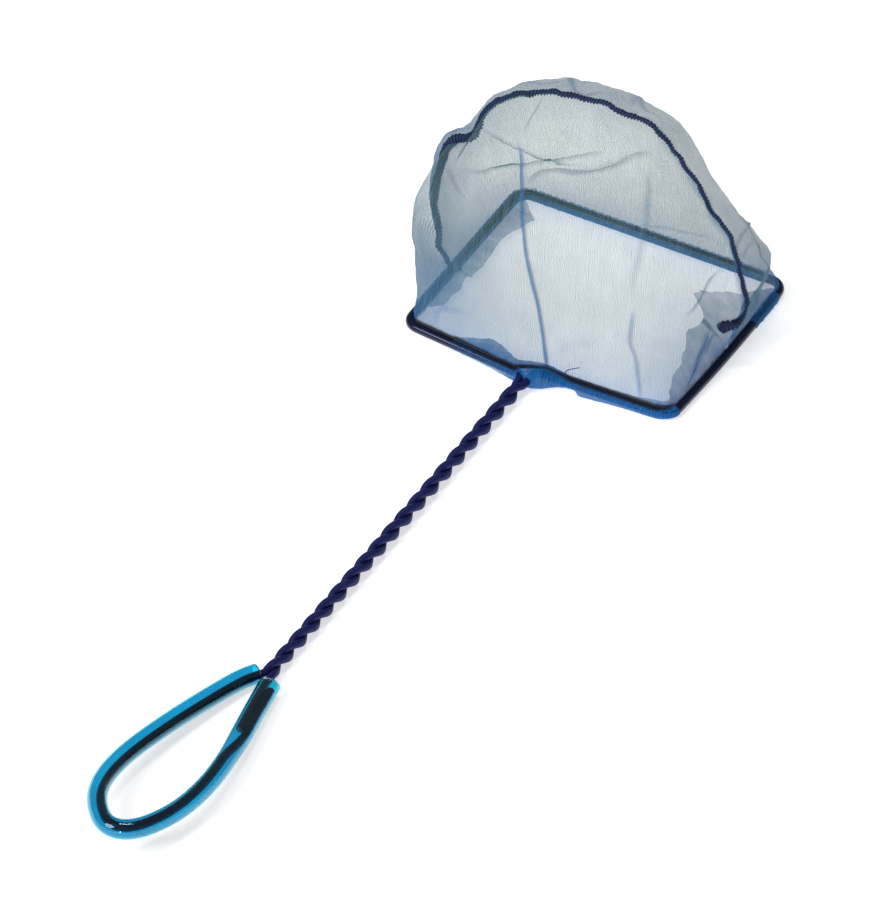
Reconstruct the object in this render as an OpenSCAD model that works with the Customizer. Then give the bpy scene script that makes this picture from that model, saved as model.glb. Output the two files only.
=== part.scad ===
// Aquarium fish net lying on its mouth.
// One coated wire makes the mouth frame, the twisted handle and the hanging loop.
// A sewn mesh bag stands over the mouth, and a soft clear tube covers the loop.
// The origin is the centre of the mouth on the surface the net lies on.
// X runs along the near bar, +Y points away from the handle, +Z is up.

/* [Mouth frame] */
// Width of the mouth, between the wire centres of the two side bars
mouth_w = 103; // [85:1:130]
// Depth of the mouth, from the far bar to the near corners, between wire centres
mouth_d = 81; // [65:1:105]
// Bend radius of the four corners, at the wire centre
corner_r = 5; // [4.5:0.1:9]
// Drop of the left half of the near bar towards the handle, at mid width
dip_left = 5.4; // [1:0.1:8]
// Drop of the right half of the near bar towards the handle, at mid width
dip_right = 1; // [0.6:0.1:8]

/* [Wire] */
// Diameter of the steel core
core_d = 2; // [1.6:0.05:2.4]
// Thickness of the plastic coat
coat_t = 0.4; // [0.3:0.05:0.6]
// Radial gap between the core and the bore of its coat
bond_gap = 0.03; // [0.02:0.01:0.08]

/* [Handle] */
// Length of the twisted shaft, from the fork to the neck of the loop
shaft_len = 175; // [120:1:260]
// Number of half turns of the twist, an odd number
half_turns = 19; // [13:2:27]
// Gap between the two strands of the twist
strand_gap = 0.68; // [0.66:0.02:0.9]
// Bend radius where each half of the near bar turns into the shaft
fork_r = 4; // [3.2:0.1:6]
// Sideways place of the shaft, from the middle of the mouth
shaft_x = -1; // [-4:0.5:4]
// Clearance of the twisted shaft over the surface
shaft_lift = 0.2; // [0.1:0.1:3]

/* [Loop] */
// Length of the loop from the neck to the wire centre at its tip
loop_len = 102.5; // [80:0.5:130]
// Width of the loop between the wire centres of its arms
loop_w = 26.5; // [22:0.5:36]
// Rise of the loop from the surface
loop_tilt = 4; // [0:0.5:12]
// Swing of the loop to the left, seen from above
loop_swing = 3; // [-6:0.5:6]
// Length of the lap where the wire's two ends lie side by side
lap_len = 26; // [15:1:34]

/* [Grip tube] */
// Bore of the tube
grip_bore = 5; // [4.6:0.1:6]
// Wall of the tube
grip_wall = 1; // [0.7:0.1:1.4]
// Clearance between the tube and the wires inside it
grip_clear = 0.3; // [0.2:0.05:0.4]
// Distance from the neck to the end of the tube on the left arm
grip_start_left = 4; // [3:0.5:10]
// Distance from the neck to the end of the tube on the right arm
grip_start_right = 7; // [5:0.5:12]

/* [Bag] */
// Height of the bag's crown seam over the surface
bag_h = 91; // [60:1:120]
// Thickness of the mesh panels
panel_t = 0.5; // [0.4:0.05:0.8]
// Clearance between cloth and what it lies against
cloth_clear = 0.3; // [0.25:0.05:0.5]
// Largest outward swell of the panels
swell = 10; // [4:0.5:12]
// Diameter of the overlocked crown seam
seam_d = 2.6; // [2:0.1:3.2]
// Place of the seam's left foot along the side bar, from the middle of the mouth
left_foot_y = -8; // [-14:1:6]
// Place of the seam's right foot along the side bar, from the middle of the mouth
right_foot_y = 0; // [-8:1:8]

/* [Hem stitching] */
// Length of one visible stitch
stitch_len = 3; // [2:0.25:4]
// Distance from one stitch to the next
stitch_pitch = 5; // [4.5:0.25:8]
// Diameter of the sewing thread
thread_d = 0.35; // [0.25:0.05:0.5]
// Length of the loose end of the needle thread at the fork
tail_len = 5; // [3:0.5:8]

/* [Hidden] */

// Half sizes and radii that the pieces share
half_w = mouth_w / 2;
half_d = mouth_d / 2;
wire_r = core_d / 2 + coat_t;
strand_r = wire_r + strand_gap / 2;
hem_r = wire_r + cloth_clear + panel_t / 2;
frame_z = hem_r + panel_t / 2;
shaft_z = strand_r + wire_r + shaft_lift;
seam_r = seam_d / 2;
thread_r = thread_d / 2;
grip_hug = grip_bore / 2 - wire_r - grip_clear;

// Counts that set how finely the curves are cut
wire_sides = 8;
core_sides = 6;
corner_steps = 4;
rings_per_turn = 8;
loop_steps = 22;
tube_sides = 12;
seam_steps = 64;
seam_sides = 6;
body_rows = 11;
column_pitch = 7.6;
hem_rows = 7;
up = [0, 0, 1];

// Vector helpers
function unit(v) = v / norm(v);
function mix(a, b, t) = a * (1 - t) + b * t;
function smooth(t) = let(c = min(max(t, 0), 1)) c * c * (3 - 2 * c);
function last(list) = list[len(list) - 1];
function flip(list) = [for (i = [len(list) - 1:-1:0]) list[i]];
function lift(points, z) = [for (p = points) [p[0], p[1], z]];
function arc(c, r, a, b, n) = [
    for (i = [0:n])
        let(t = a + (b - a) * i / n)
        c + r * [cos(t), sin(t)]
];

// Distance along a list of points, up to each point
function run_lengths(p, i = 0, sum = 0) =
    i == len(p) ? [] :
    let(s = i == 0 ? 0 : sum + norm(p[i] - p[i - 1]))
    concat([s], run_lengths(p, i + 1, s));

// Smooth curve through evenly spaced control values, at the share t of its length
function through(p, t) =
    let(
        n = len(p) - 1,
        x = min(max(t, 0), 1) * n,
        i = min(floor(x), n - 1),
        f = x - i,
        b = p[i],
        c = p[i + 1],
        a = i > 0 ? p[i - 1] : 2 * b - c,
        d = i < n - 1 ? p[i + 2] : 2 * c - b
    )
    (2 * b + (c - a) * f + (2 * a - 5 * b + 4 * c - d) * f * f
        + (3 * b - a - 3 * c + d) * f * f * f) / 2;

// Half of the mouth in plan, from the far bar to the end of the fork bend.
// The half lies on +X; end_x is where its strand runs down the shaft.
function near_angle(dip) = atan(dip / half_w);
function near_y(x, dip) = -half_d - (half_w - x) * tan(near_angle(dip));
function corner_arc(dip) =
    let(a = near_angle(dip))
    arc([half_w - corner_r, near_y(half_w - corner_r, dip) + corner_r / cos(a)],
        corner_r, 0, a - 90, corner_steps);
function fork_arc(dip, end_x) =
    let(a = near_angle(dip), x = end_x + fork_r)
    arc([x, near_y(x, dip) - fork_r / cos(a)], fork_r, 90 + a, 180, corner_steps);
function half_frame(dip, end_x) = concat(
    arc([half_w - corner_r, half_d - corner_r], corner_r, 90, 0, corner_steps),
    corner_arc(dip),
    fork_arc(dip, end_x)
);
function mirrored(points) = [for (p = points) [-p[0], p[1]]];
right_half = half_frame(dip_right, shaft_x + strand_r);
left_half = mirrored(half_frame(dip_left, strand_r - shaft_x));

// Twist: both strands start side by side, and the turn eases in and out
fork_y = min(last(right_half)[1], last(left_half)[1]) - wire_r;
neck_y = fork_y - shaft_len;
twist_steps = half_turns * rings_per_turn / 2;
ease_share = 1 / twist_steps;
function eased(t) =
    let(e = ease_share)
    (t < e ? t * t / (2 * e) : t > 1 - e ? 1 - e - (1 - t) * (1 - t) / (2 * e) : t - e / 2) / (1 - e);
function strand(start) = [
    for (i = [0:twist_steps])
        let(t = i / twist_steps, a = start + 180 * half_turns * eased(t))
        [shaft_x + strand_r * cos(a), fork_y - shaft_len * t, shaft_z + strand_r * sin(a)]
];

// Loop in its own plane: across the arms, and along from the neck.
// One arm is a cubic curve from the neck to the tip.
arm_shares = [[1.42, 0.65], [1.19, 1]];
function arm_point(t) =
    let(
        a = [strand_r, 0],
        b = [arm_shares[0][0] * loop_w / 2, arm_shares[0][1] * loop_len],
        c = [arm_shares[1][0] * loop_w / 2, arm_shares[1][1] * loop_len],
        d = [0, loop_len],
        s = 1 - t
    )
    s * s * s * a + 3 * s * s * t * b + 3 * s * t * t * c + t * t * t * d;
function arm_normal(t) =
    let(h = 1 / loop_steps / 4, d = arm_point(min(t + h, 1)) - arm_point(max(t - h, 0)))
    unit([d[1], -d[0]]);
function beside_arm(t, off) = arm_point(t) + off * arm_normal(t);

// From the loop's plane to its place: swung to the left and tilted up
neck = [shaft_x, neck_y, shaft_z];
along = [-sin(loop_swing) * cos(loop_tilt), -cos(loop_swing) * cos(loop_tilt), sin(loop_tilt)];
across = [cos(loop_swing), -sin(loop_swing), 0];
function placed(p) = neck + p[0] * across + p[1] * along;

// Share of the arm's curve at a distance from the neck, by halving
function arm_share(dist, a = 0, b = 1, n = 18) =
    n == 0 ? (a + b) / 2 :
    let(m = (a + b) / 2)
    arm_point(m)[1] < dist ? arm_share(dist, m, b, n - 1) : arm_share(dist, a, m, n - 1);

// On the right arm the wire moves to the outer side of the tube beside the other end
stub_end = arm_share(grip_start_right + lap_len);
tail_end = arm_share(grip_start_right + wire_r);
free_share = arm_share(grip_start_right + lap_len + loop_len / 5);
function lap_weight(t) = 1 - smooth((t - stub_end) / (free_share - stub_end));
function tail_offset(t) = grip_hug + mix(-grip_hug, strand_r, lap_weight(t));
function stub_offset(t) = (grip_hug - strand_r) * smooth(t / tail_end);

left_arm = [
    for (i = [1:loop_steps])
        let(p = arm_point(i / loop_steps))
        placed([-p[0], p[1]])
];
right_arm = [
    for (i = [loop_steps - 1:-1:0])
        let(t = mix(tail_end, 1, i / loop_steps))
        placed(beside_arm(t, tail_offset(t)))
];
stub_steps = 6;
stub = [
    for (i = [stub_steps:-1:1])
        let(t = stub_end * i / stub_steps)
        placed(beside_arm(t, stub_offset(t)))
];

// The whole wire, from the stub in the right arm to the tail beside it.
// The turns of the bars are left flat, and the shaft strands end the flat runs.
wire_path = concat(
    stub,
    flip(strand(180)),
    lift(flip(left_half), frame_z),
    lift(right_half, frame_z),
    strand(0),
    left_arm,
    right_arm
);

// Least gap of the wire to itself, on its points and half-way points
function halves(p) = [for (i = [0:len(p) - 1]) each i == 0 ? [p[0]] : [(p[i - 1] + p[i]) / 2, p[i]]];
function least_gap(a, b) = min([for (p = a) min([for (q = b) norm(p - q)])]) - 2 * wire_r;
shaft_gap = least_gap(halves(strand(180)), halves(strand(0)));
lap_gap = least_gap(halves(stub), halves(right_arm));
echo(str("Least gap of the wire to itself in the shaft, mm: ", shaft_gap));
echo(str("Least gap of the wire to itself in the lap, mm: ", lap_gap));

// Ring of a tube: profile points are [sideways, upwards] in the plane square to the path
function tangent(p, i) = unit(p[min(i + 1, len(p) - 1)] - p[max(i - 1, 0)]);
function placed_ring(c, t, profile) =
    let(side = unit(cross(t, up)), top = cross(side, t))
    [for (q = profile) c + q[0] * side + q[1] * top];
function oval(a, b, n) = [
    for (k = [0:n - 1])
        let(w = 360 * (k + 0.5) / n)
        [a * cos(w), b * sin(w)]
];
function skin(rings, n, base, inward) = [
    for (i = [0:rings - 2], k = [0:n - 1])
        let(
            a = base + i * n + k,
            b = base + i * n + (k + 1) % n,
            c = b + n,
            d = a + n
        )
        each inward ? [[a, c, b], [a, d, c]] : [[a, b, c], [a, c, d]]
];

// Solid rod along a path
module rod(path, r, n) {
    m = len(path);
    points = [for (i = [0:m - 1]) each placed_ring(path[i], tangent(path, i), oval(r, r, n))];
    start = [for (k = [1:n - 2]) [0, k + 1, k]];
    end = [for (k = [1:n - 2]) (m - 1) * n * [1, 1, 1] + [0, k, k + 1]];
    polyhedron(points, concat(skin(m, n, 0, false), start, end));
}

// Tube along a path; outer and inner hold one profile for each ring
module tube(path, outer, inner) {
    m = len(path);
    n = len(outer[0]);
    shell = m * n;
    points = concat(
        [for (i = [0:m - 1]) each placed_ring(path[i], tangent(path, i), outer[i])],
        [for (i = [0:m - 1]) each placed_ring(path[i], tangent(path, i), inner[i])]
    );
    start = [
        for (k = [0:n - 1])
            let(l = (k + 1) % n)
            each [[k, shell + k, shell + l], [k, shell + l, l]]
    ];
    end = [
        for (k = [0:n - 1])
            let(l = (k + 1) % n, e = shell - n)
            each [[e + k, e + l, shell + e + l], [e + k, shell + e + l, shell + e + k]]
    ];
    polyhedron(points, concat(skin(m, n, 0, false), skin(m, n, shell, true), start, end));
}

// Tube round the wire: it lies against the outer side of the wire, and is stretched flat over the lap
function grip_centre(side, t) = let(p = beside_arm(t, grip_hug)) placed([side * p[0], p[1]]);
left_start = arm_share(grip_start_left);
right_start = arm_share(grip_start_right);
grip_path = concat(
    [for (i = [0:loop_steps]) grip_centre(-1, mix(left_start, 1, i / loop_steps))],
    [for (i = [loop_steps - 1:-1:0]) grip_centre(1, mix(right_start, 1, i / loop_steps))]
);
grip_spread = concat(
    [for (i = [0:loop_steps]) 0],
    [for (i = [loop_steps - 1:-1:0]) lap_weight(mix(right_start, 1, i / loop_steps))]
);
lap_bore_r = wire_r + grip_clear;
function stadium(r, half_gap, n) = [
    for (k = [0:n - 1])
        let(w = 360 * (k + 0.5) / n)
        [r * cos(w) + half_gap * sign(cos(w)), r * sin(w)]
];
function bore(s) = stadium(mix(grip_bore / 2, lap_bore_r, s), strand_r * s, tube_sides);
function sleeve(s) = stadium(mix(grip_bore / 2, lap_bore_r, s) + grip_wall, strand_r * s, tube_sides);

// Crown seam: its route as shares of the mouth's half width and of the bag's height.
// It leaves both side bars, swells past them, and drops at the left where the bag sags.
foot_z = frame_z + hem_r + panel_t;
crown_shares = [
    [-1.12, 0.10], [-1.175, 0.22], [-1.185, 0.36], [-1.12, 0.505], [-0.94, 0.59],
    [-0.855, 0.725], [-0.70, 0.845], [-0.41, 0.95], [-0.10, 0.99], [0.21, 1],
    [0.45, 0.965], [0.66, 0.845], [0.87, 0.68], [1.03, 0.54], [1.11, 0.405],
    [1.165, 0.265], [1.12, 0.14]
];
crown_points = concat(
    [[-half_w, left_foot_y, foot_z]],
    [
        for (s = crown_shares)
            [s[0] * half_w, s == crown_shares[0] ? 3 / 4 * left_foot_y : 0, s[1] * bag_h]
    ],
    [[half_w, right_foot_y, foot_z]]
);
function crown(t) = through(crown_points, t);
function crown_tangent(t) = unit(crown(min(t + 0.01, 1)) - crown(max(t - 0.01, 0)));

// Rim of each panel in plan, from the left foot of the seam to the right one.
// The rim keeps a little way off both feet, and crosses the fork in a straight line.
foot_gap = seam_r + cloth_clear;
left_x = shaft_x - strand_r - fork_r;
right_x = shaft_x + strand_r + fork_r;
far_corner = arc([half_w - corner_r, half_d - corner_r], corner_r, 90, 0, corner_steps);
front_rim = concat(
    [[-half_w, left_foot_y - foot_gap]],
    mirrored(corner_arc(dip_left)),
    [[left_x, near_y(-left_x, dip_left)], [right_x, near_y(right_x, dip_right)]],
    flip(corner_arc(dip_right)),
    [[half_w, right_foot_y - foot_gap]]
);
back_rim = concat(
    [[-half_w, left_foot_y + foot_gap]],
    flip(mirrored(far_corner)),
    far_corner,
    [[half_w, right_foot_y + foot_gap]]
);
front_run = run_lengths(front_rim);
back_run = run_lengths(back_rim);
function at_length(points, run, s) = [
    lookup(s, [for (i = [0:len(points) - 1]) [run[i], points[i][0]]]),
    lookup(s, [for (i = [0:len(points) - 1]) [run[i], points[i][1]]])
];

// A panel is [rim, running length, side, swell shares outwards, swell shares upwards]
front = [
    front_rim, front_run, -1,
    [0, 0.15, 0.5, 0.7, 0.8, 0.8, 0.7, 0.4, 0],
    [0, 0.15, 0.4, 0.4, 0.2, 0.2, 0.2, 0.1, 0]
];
back = [
    back_rim, back_run, 1,
    [0, 0.2, 0.6, 1, 1.1, 0.6, 0.3, 0.5, 0],
    [0, 0.2, 1.15, 0.8, 1.3, 0.8, 0.3, 0.6, 0]
];

// Rim and seam edge of a panel at the share u of its width.
// The seam edge stays beside the seam.
first_seam_share = 0.04;
edge_gap = seam_r + cloth_clear + panel_t / 2;
function rim_at(panel, u) =
    let(p = at_length(panel[0], panel[1], u * last(panel[1])))
    [p[0], p[1], frame_z];
function rim_out(panel, u) =
    let(
        e = 0.5 / last(panel[1]),
        d = rim_at(panel, min(u + e, 1)) - rim_at(panel, max(u - e, 0)),
        n = unit(cross(d, up))
    )
    -panel[2] * n;
function edge_at(panel, u) =
    let(
        t = mix(first_seam_share, 1 - first_seam_share, u),
        c = crown(t),
        f = crown_tangent(t),
        d = rim_at(panel, u) + hem_r * up - c,
        g = d - (d * f) * f
    )
    c + edge_gap * unit(g);

// Body of a panel at the share v from its rim to the seam: straight, and swollen out and up
out_peak = 1.1;
up_peak = 2.6;
fullness = 0.8;
function bulge(v, peak) = pow(sin(180 * pow(min(max(v, 0), 1), peak)), fullness);
function body(panel, u, v) =
    let(
        r = rim_at(panel, u) + hem_r * up,
        e = edge_at(panel, u),
        out = unit([r[0] / half_w, r[1] / half_d, 0]),
        rise = unit([e[0], 0, e[2] - 0.44 * bag_h])
    )
    mix(r, e, v)
        + out * swell * through(panel[3], u) * bulge(v, out_peak)
        + rise * swell * through(panel[4], u) * bulge(v, up_peak);

// Hem at the share s of its way: from the top of the wire round its inner side, under it and
// up its outer side, and then as the stitched flap along the outer face of the body
wrap_angle = 270;
wrap_rows = 5;
wrap_share = wrap_rows / hem_rows;
flap_gap = panel_t + cloth_clear;
flap_high = 2.6 * hem_r;
function face(panel, u, v) =
    let(
        e = 0.02,
        a = body(panel, min(u + e, 1), v) - body(panel, max(u - e, 0), v),
        b = body(panel, u, v + e) - body(panel, u, v)
    )
    -panel[2] * unit(cross(a, b));
function beside_body(panel, u, height, off) =
    let(v = height / norm(body(panel, u, 1) - body(panel, u, 0)))
    body(panel, u, v) + off * face(panel, u, v);
function wrapped(panel, u, angle) =
    rim_at(panel, u) + hem_r * (cos(angle) * up - sin(angle) * rim_out(panel, u));
function hem(panel, u, s) =
    s < wrap_share ?
        wrapped(panel, u, wrap_angle * s / wrap_share) :
        mix(
            wrapped(panel, u, wrap_angle),
            beside_body(panel, u, flap_high, flap_gap),
            (s - wrap_share) / (1 - wrap_share)
        );

// Near the fork the hem stops under the wire, so the two strands can leave the bar
fork_clear = strand_r + fork_r + 2 * hem_r;
fork_share = 0.45;
fork_fade = 4 * column_pitch;
function hem_reach(panel, u) =
    panel[2] > 0 ? 1 :
    let(away = abs(rim_at(panel, u)[0] - shaft_x) - fork_clear)
    mix(fork_share, 1, min(max(away / fork_fade, 0), 1));

// Thin closed solid on both sides of a grid of points, one list for each row.
// Each quad is cut along its shorter diagonal, so the hem stays clear of the wire.
function grid_point(g, i, j) = g[min(max(i, 0), len(g) - 1)][min(max(j, 0), len(g[0]) - 1)];
function grid_normal(g, i, j) =
    unit(cross(
        grid_point(g, i, j + 1) - grid_point(g, i, j - 1),
        grid_point(g, i + 1, j) - grid_point(g, i - 1, j)
    ));
module sheet(g, t) {
    rows = len(g);
    cols = len(g[0]);
    count = rows * cols;
    points = [
        for (s = [1, -1], i = [0:rows - 1], j = [0:cols - 1])
            g[i][j] + s * t / 2 * grid_normal(g, i, j)
    ];
    faces = [
        for (i = [0:rows - 2], j = [0:cols - 2])
            let(
                a = i * cols + j,
                b = a + 1,
                c = b + cols,
                d = a + cols,
                halves = norm(g[i + 1][j + 1] - g[i][j]) < norm(g[i + 1][j] - g[i][j + 1]) ?
                    [[a, c, b], [a, d, c]] :
                    [[a, d, b], [b, d, c]],
                far_side = [count, count, count]
            )
            each concat(halves, [for (f = halves) far_side + [f[0], f[2], f[1]]])
    ];
    border = concat(
        [for (j = [0:cols - 1]) j],
        [for (i = [1:rows - 1]) i * cols + cols - 1],
        [for (j = [cols - 2:-1:0]) (rows - 1) * cols + j],
        [for (i = [rows - 2:-1:1]) i * cols]
    );
    rim = [
        for (n = [0:len(border) - 1])
            let(a = border[n], b = border[(n + 1) % len(border)])
            each [[a, b, count + b], [a, count + b, count + a]]
    ];
    polyhedron(points, concat(faces, rim));
}
function body_share(k) = mix(k, smooth(k), 0.5);
function columns(run) = concat(
    [
        for (i = [0:len(run) - 2])
            let(n = ceil((run[i + 1] - run[i]) / column_pitch))
            for (k = [0:n - 1])
                mix(run[i], run[i + 1], k / n) / last(run)
    ],
    [1]
);
function panel_grid(panel) =
    let(shares = columns(panel[1]))
    concat(
        [
            for (i = [hem_rows:-1:1])
                [for (u = shares) hem(panel, u, i / hem_rows * hem_reach(panel, u))]
        ],
        [
            for (i = [0:body_rows])
                [for (u = shares) body(panel, u, body_share(i / body_rows))]
        ]
    );

// Stitches of the hem, near the flap's edge, on the given face
stitch_height = 0.9 * flap_high;
stitched_reach = 0.98;
outer_face = flap_gap + panel_t / 2 + thread_r + bond_gap;
inner_face = -panel_t / 2 - thread_r - bond_gap;
module stitches(panel, off) {
    length = last(panel[1]);
    count = floor(length / stitch_pitch);
    for (i = [0:count - 1]) {
        a = (i + 0.5) / count - stitch_len / length / 2;
        b = a + stitch_len / length;
        if (min(hem_reach(panel, a), hem_reach(panel, b)) > stitched_reach)
            rod([
                beside_body(panel, a, stitch_height, off),
                beside_body(panel, b, stitch_height, off)
            ], thread_r, 4);
    }
}

// Loose end of the needle thread, as shares of its length from the first stitch beside the fork
tail_shares = [[0, 0, 0], [0.3, -0.15, 0.2], [0.6, -0.1, 0.4], [0.85, -0.3, 0.45], [1, -0.6, 0.3]];
tail_share = 0.51;
module thread_end() {
    start = beside_body(front, tail_share, stitch_height, -inner_face);
    rod([for (i = [0:6]) start + tail_len * through(tail_shares, i / 6)], thread_r, 4);
}

module wire_core() {
    color("silver")
        rod(wire_path, core_d / 2, core_sides);
}

module wire_coat() {
    m = len(wire_path);
    outer = oval(wire_r, wire_r, wire_sides);
    inner = oval(core_d / 2 + bond_gap, core_d / 2 + bond_gap, wire_sides);
    color([0.10, 0.10, 0.32])
        tube(wire_path, [for (i = [1:m]) outer], [for (i = [1:m]) inner]);
}

module grip_tube() {
    color([0.10, 0.62, 0.85, 0.6])
        tube(grip_path, [for (s = grip_spread) sleeve(s)], [for (s = grip_spread) bore(s)]);
}

module front_panel() {
    color([0.70, 0.82, 0.90])
        sheet(panel_grid(front), panel_t);
}

module back_panel() {
    color([0.62, 0.76, 0.86])
        sheet(panel_grid(back), panel_t);
}

module crown_seam() {
    color([0.10, 0.18, 0.45])
        rod([for (i = [0:seam_steps]) crown(i / seam_steps)], seam_r, seam_sides);
}

module hem_needle_thread() {
    color([0.16, 0.24, 0.50]) {
        stitches(front, outer_face);
        stitches(back, outer_face);
        thread_end();
    }
}

module hem_bobbin_thread() {
    color([0.16, 0.24, 0.50]) {
        stitches(front, inner_face);
        stitches(back, inner_face);
    }
}

wire_core();
wire_coat();
grip_tube();
front_panel();
back_panel();
crown_seam();
hem_needle_thread();
hem_bobbin_thread();
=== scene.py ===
# %% [markdown]
# # A small aquarium net
# The real object is one wire with a plastic coat, bent into a mouth, twisted into a handle and
# closed in a loop, with a sewn mesh bag on the mouth and a clear blue tube over the loop.
# The solid model is already packed, so this lesson dresses it. Every length below is in
# millimetres, as a maker would measure it, and is turned into metres once, when a mesh is made.

# %% Load the solid model as a fixed frame
import math
import bmesh
import bpy
import numpy as np
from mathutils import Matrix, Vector


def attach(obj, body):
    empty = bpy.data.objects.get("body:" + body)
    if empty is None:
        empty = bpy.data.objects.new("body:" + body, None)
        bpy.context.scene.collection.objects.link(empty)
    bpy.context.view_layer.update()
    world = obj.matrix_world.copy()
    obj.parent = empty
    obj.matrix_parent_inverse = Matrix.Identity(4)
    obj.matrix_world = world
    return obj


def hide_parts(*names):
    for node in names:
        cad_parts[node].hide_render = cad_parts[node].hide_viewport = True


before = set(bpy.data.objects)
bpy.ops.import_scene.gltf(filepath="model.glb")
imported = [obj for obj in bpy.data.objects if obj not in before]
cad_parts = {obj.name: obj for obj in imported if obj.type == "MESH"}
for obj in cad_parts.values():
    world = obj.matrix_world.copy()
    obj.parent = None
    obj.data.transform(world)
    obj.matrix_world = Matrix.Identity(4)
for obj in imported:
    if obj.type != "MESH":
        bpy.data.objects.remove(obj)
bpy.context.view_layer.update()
MM = 0.001
print("nodes:", sorted(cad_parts))

# %% [markdown]
# ## The camera
# The net was photographed from far away, so its edges run almost parallel. A long lens at eleven
# metres gives the same view to within three pixels. The direction is an azimuth round the object
# and a height above the horizon, and the field is as wide as the photograph shows at the net.

# %% Camera at the photograph's angle
view_azimuth = 29.1
view_elevation = 39.9
view_distance = 11000.0
photo_width = 896
pixels_per_mm = 2.948
look_at = np.array([-4.5, -95.2, 2.2])


def camera_back(azimuth, elevation):
    """Unit vector from the object to a camera: azimuth 0 looks along +Y, and 90 along -X."""
    a, e = math.radians(azimuth), math.radians(elevation)
    return np.array([math.sin(a) * math.cos(e), -math.cos(a) * math.cos(e), math.sin(e)])


camera_data = bpy.data.cameras.new("camera")
camera_data.sensor_fit = "HORIZONTAL"
camera_data.sensor_width = 36.0
camera_data.lens = camera_data.sensor_width * view_distance * pixels_per_mm / photo_width
camera_data.clip_end = 100.0
camera = bpy.data.objects.new("camera", camera_data)
bpy.context.scene.collection.objects.link(camera)
back = camera_back(view_azimuth, view_elevation)
camera.location = Vector((look_at + view_distance * back) * MM)
camera.rotation_euler = Vector(back).to_track_quat("Z", "Y").to_euler()
bpy.context.scene.camera = camera
print("lens in mm:", round(camera_data.lens, 1))

# %% [markdown]
# ## Curves and grids in numpy
# Each new piece is a grid of points: a profile carried along a path, or a surface of two
# parameters. These few functions do all of it for whole arrays at once.

# %% Helpers for curves


def unit(v):
    """Vectors divided by their lengths."""
    return v / np.maximum(np.linalg.norm(v, axis=-1, keepdims=True), 1e-12)


def mix(a, b, t):
    """Straight blend: a at 0, b at 1."""
    return a * (1 - t) + b * t


def smooth(t):
    """Ramp from 0 to 1 that is level at both ends: 3t^2 - 2t^3."""
    t = np.clip(t, 0, 1)
    return t * t * (3 - 2 * t)


def arc(centre, radius, start, end, count=12):
    """Points on a circle in plan, from one angle in degrees to another."""
    w = np.radians(np.linspace(start, end, count + 1))
    return np.asarray(centre) + radius * np.stack([np.cos(w), np.sin(w)], -1)


def through(values, t):
    """Smooth curve through evenly spaced values: a Catmull-Rom spline, at the share t."""
    p = np.asarray(values, float)
    p = np.concatenate([2 * p[:1] - p[1:2], p, 2 * p[-1:] - p[-2:-1]])
    x = np.clip(np.asarray(t, float), 0, 1) * (len(p) - 3)
    i = np.minimum(x.astype(int), len(p) - 4)
    f = (x - i).reshape(x.shape + (1,) * (p.ndim - 1))
    a, b, c, d = p[i], p[i + 1], p[i + 2], p[i + 3]
    return (2 * b + (c - a) * f + (2 * a - 5 * b + 4 * c - d) * f**2 + (3 * b - a - 3 * c + d) * f**3) / 2


def run_of(path):
    """Distance along a path, up to each point."""
    steps = np.linalg.norm(np.diff(path, axis=0), axis=1)
    return np.concatenate([[0], np.cumsum(steps)])


def read_off(values, run, s):
    """Rows of values that are known at the distances run, read off at the distances s."""
    return np.stack([np.interp(s, run, column) for column in values.T], -1)


def at_run(path, s):
    """Points at the distances s along a path of straight pieces."""
    return read_off(path, run_of(path), s)


def resampled(path, step):
    """The same path with points every step millimetres."""
    length = run_of(path)[-1]
    return at_run(path, np.linspace(0, length, round(length / step) + 1))


def eased_path(path, window):
    """A path whose bends are softened by a moving average over window points; its ends stay."""
    half = window // 2
    padded = np.concatenate([2 * path[:1] - path[half:0:-1], path, 2 * path[-1:] - path[-2:-half - 2:-1]])
    weights = np.hanning(2 * half + 3)[1:-1]
    weights /= weights.sum()
    return np.stack([np.convolve(padded[:, k], weights, "valid") for k in range(path.shape[1])], -1)


# %% Helpers for meshes
weld_gap = 0.001


def grid_faces(rows, cols, wrap=False, flip=False):
    """Quads of a grid of points; wrap joins the last column to the first."""
    i = np.arange(rows - 1)[:, None]
    j = np.arange(cols if wrap else cols - 1)
    k = (j + 1) % cols
    low, high = i * cols, (i + 1) * cols
    quads = np.stack([low + j, high + j, high + k, low + k], -1).reshape(-1, 4)
    return quads[:, ::-1] if flip else quads


def add_piece(name, points, faces, slot, uv=None, values=None, welded=False):
    """Makes a mesh from points in mm and faces, and ties it to the body; welded joins equal points."""
    mesh = bpy.data.meshes.new(name)
    mesh.from_pydata((np.asarray(points) * MM).tolist(), [], [list(map(int, f)) for f in faces])
    mesh.update()
    mesh.shade_smooth()
    if uv is not None:
        loops = np.zeros(len(mesh.loops), int)
        mesh.loops.foreach_get("vertex_index", loops)
        layer = mesh.uv_layers.new(name="cloth")
        layer.data.foreach_set("uv", np.asarray(uv, np.float32)[loops].ravel())
    for key, value in (values or {}).items():
        attribute = mesh.attributes.new(key, "FLOAT", "POINT")
        attribute.data.foreach_set("value", np.asarray(value, np.float32))
    if welded:
        shape = bmesh.new()
        shape.from_mesh(mesh)
        bmesh.ops.remove_doubles(shape, verts=shape.verts, dist=weld_gap * MM)
        shape.to_mesh(mesh)
        shape.free()
    mesh.calc_loop_triangles()
    piece = bpy.data.objects.new(name, mesh)
    bpy.context.scene.collection.objects.link(piece)
    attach(piece, "root")
    print(name, "triangles:", len(mesh.loop_triangles))
    return piece


def swept(path, a, b, profile):
    """Rings of profile points [along a, along b], one ring round each point of a path."""
    return path[:, None] + profile[..., :1] * a[:, None] + profile[..., 1:] * b[:, None]


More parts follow.
